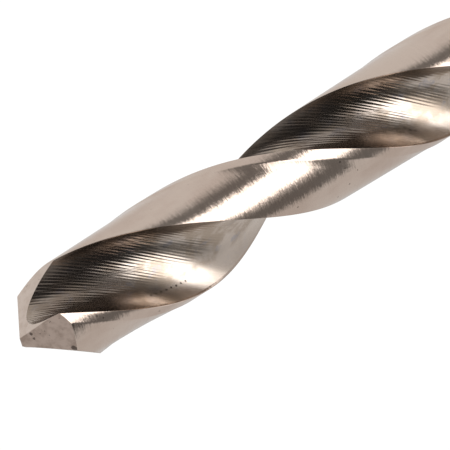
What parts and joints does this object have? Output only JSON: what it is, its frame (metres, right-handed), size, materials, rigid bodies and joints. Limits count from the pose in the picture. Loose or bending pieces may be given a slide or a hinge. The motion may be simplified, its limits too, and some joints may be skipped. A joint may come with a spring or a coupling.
{
  "type": "twist drill bit",
  "caption": "Twist drill bit with right-hand helical flutes, narrow margins, a faceted point and a plain cylindrical shank.",
  "frame": {"origin": "centre of the flat end of the shank, which the bit stands on", "axes": "+Z along the bit's axis from the shank to the point; the two cutting lips run along X"},
  "size_m": [0.008, 0.008, 0.117],
  "materials": {
    "bit": "ground bright high-speed steel"
  },
  "bodies": {
    "root": {"twist_drill_bit": "bit"}
  },
  "joints": []
}
